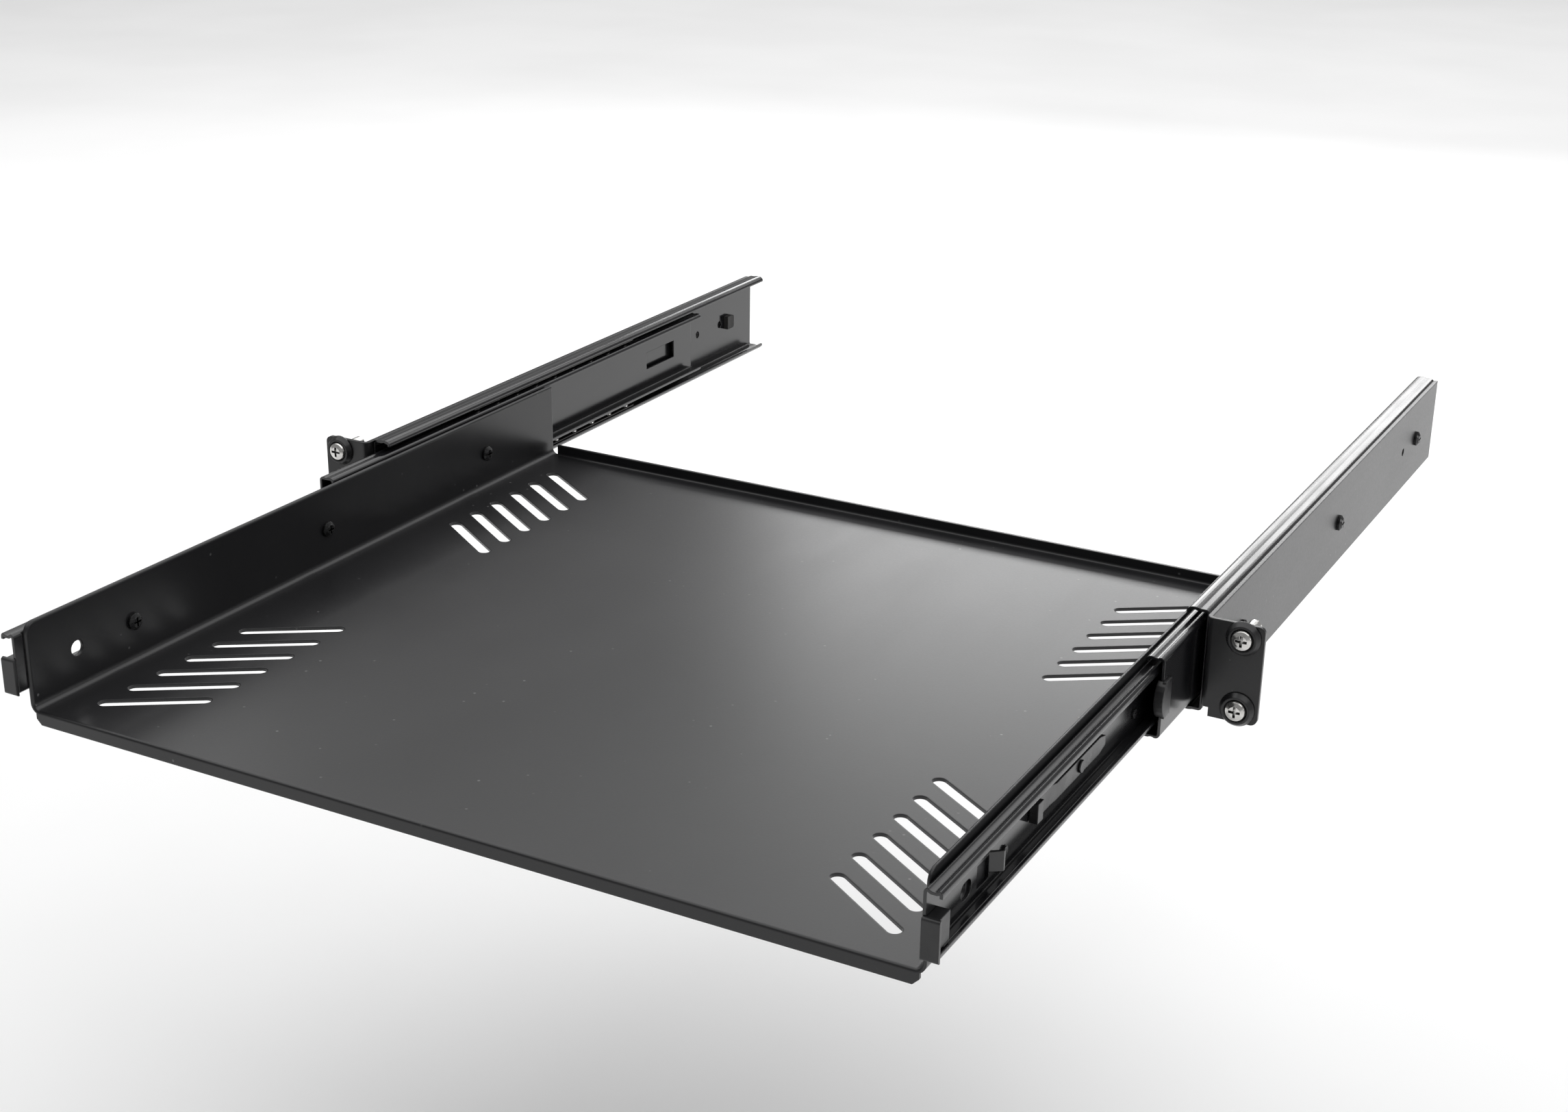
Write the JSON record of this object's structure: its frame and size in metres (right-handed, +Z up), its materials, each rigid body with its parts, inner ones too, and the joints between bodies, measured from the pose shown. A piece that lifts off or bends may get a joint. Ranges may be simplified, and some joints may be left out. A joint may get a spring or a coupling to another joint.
{
  "type": "sliding keyboard drawer",
  "caption": "Shallow black steel keyboard drawer on two-stage ball-bearing slides, carried by a pair of bolted ear brackets and shown pulled part-way out.",
  "frame": {"origin": "centre of the four fixing screws, on the rear face of the two ears", "axes": "+X across the drawer to the right as seen from the front, +Y inwards, the way the drawer closes, +Z up"},
  "size_m": [0.4826, 0.6325, 0.0514],
  "materials": {
    "powder_coat": "satin black powder coat",
    "slide_steel": "semi-gloss black electrocoat",
    "cage_strip": "zinc plated strip",
    "ball_steel": "polished",
    "bright_screw": "bright nickel plate",
    "cup_plastic": "satin",
    "black_screw": "black oxide",
    "stop_rubber": "matte",
    "bumper_plastic": "semi-gloss moulded"
  },
  "bodies": {
    "frame": {"left_ear_bracket": "powder_coat", "right_ear_bracket": "powder_coat", "left_outer_rail": "slide_steel", "right_outer_rail": "slide_steel", "rack_screws": "bright_screw", "cup_washers": "cup_plastic", "rail_screws": "black_screw", "rear_stops": "stop_rubber"},
    "left_middle": {"left_middle_rail": "slide_steel", "left_middle_bumper": "bumper_plastic"},
    "right_middle": {"right_middle_rail": "slide_steel", "right_middle_bumper": "bumper_plastic"},
    "drawer": {"tray": "powder_coat", "left_inner_rail": "slide_steel", "right_inner_rail": "slide_steel", "tray_screws": "black_screw", "front_bumpers": "bumper_plastic", "lever_pins": "black_screw"},
    "left_outer_cage": {"left_outer_cage": "cage_strip", "left_outer_balls": "ball_steel"},
    "left_inner_cage": {"left_inner_cage": "cage_strip", "left_inner_balls": "ball_steel"},
    "left_lever": {"left_release_lever": "bumper_plastic"},
    "right_outer_cage": {"right_outer_cage": "cage_strip", "right_outer_balls": "ball_steel"},
    "right_inner_cage": {"right_inner_cage": "cage_strip", "right_inner_balls": "ball_steel"},
    "right_lever": {"right_release_lever": "bumper_plastic"}
  },
  "joints": [
    {"name": "left_middle_slide", "type": "slide", "parent": "frame", "child": "left_middle", "axis": [0, -1, 0], "range_m": [-0.045, 0.136]},
    {"name": "right_middle_slide", "type": "slide", "parent": "frame", "child": "right_middle", "axis": [0, -1, 0], "range_m": [-0.045, 0.136]},
    {"name": "drawer_slide", "type": "slide", "parent": "left_middle", "child": "drawer", "axis": [0, -1, 0], "range_m": [-0.2, 0]},
    {"name": "left_outer_cage_slide", "type": "slide", "parent": "frame", "child": "left_outer_cage", "axis": [0, -1, 0], "range_m": [-0.0225, 0.068]},
    {"name": "left_inner_cage_slide", "type": "slide", "parent": "left_middle", "child": "left_inner_cage", "axis": [0, -1, 0], "range_m": [-0.1, 0]},
    {"name": "left_lever_hinge", "type": "hinge", "parent": "drawer", "child": "left_lever", "pos_m": [-0.2058, -0.114, 0], "axis": [1, 0, 0], "range_deg": [-5, 5], "stiffness_Nm_per_rad": 0.01},
    {"name": "right_outer_cage_slide", "type": "slide", "parent": "frame", "child": "right_outer_cage", "axis": [0, -1, 0], "range_m": [-0.0225, 0.068]},
    {"name": "right_inner_cage_slide", "type": "slide", "parent": "right_middle", "child": "right_inner_cage", "axis": [0, -1, 0], "range_m": [-0.1, 0]},
    {"name": "right_lever_hinge", "type": "hinge", "parent": "drawer", "child": "right_lever", "pos_m": [0.2058, -0.114, 0], "axis": [1, 0, 0], "range_deg": [-5, 5], "stiffness_Nm_per_rad": 0.01}
  ],
  "couplings": [
    {"joint": "right_middle_slide", "follows": "left_middle_slide", "ratio": 1},
    {"joint": "left_outer_cage_slide", "follows": "left_middle_slide", "ratio": 0.5},
    {"joint": "left_inner_cage_slide", "follows": "drawer_slide", "ratio": 0.5},
    {"joint": "right_outer_cage_slide", "follows": "left_middle_slide", "ratio": 0.5},
    {"joint": "right_inner_cage_slide", "follows": "drawer_slide", "ratio": 0.5}
  ]
}
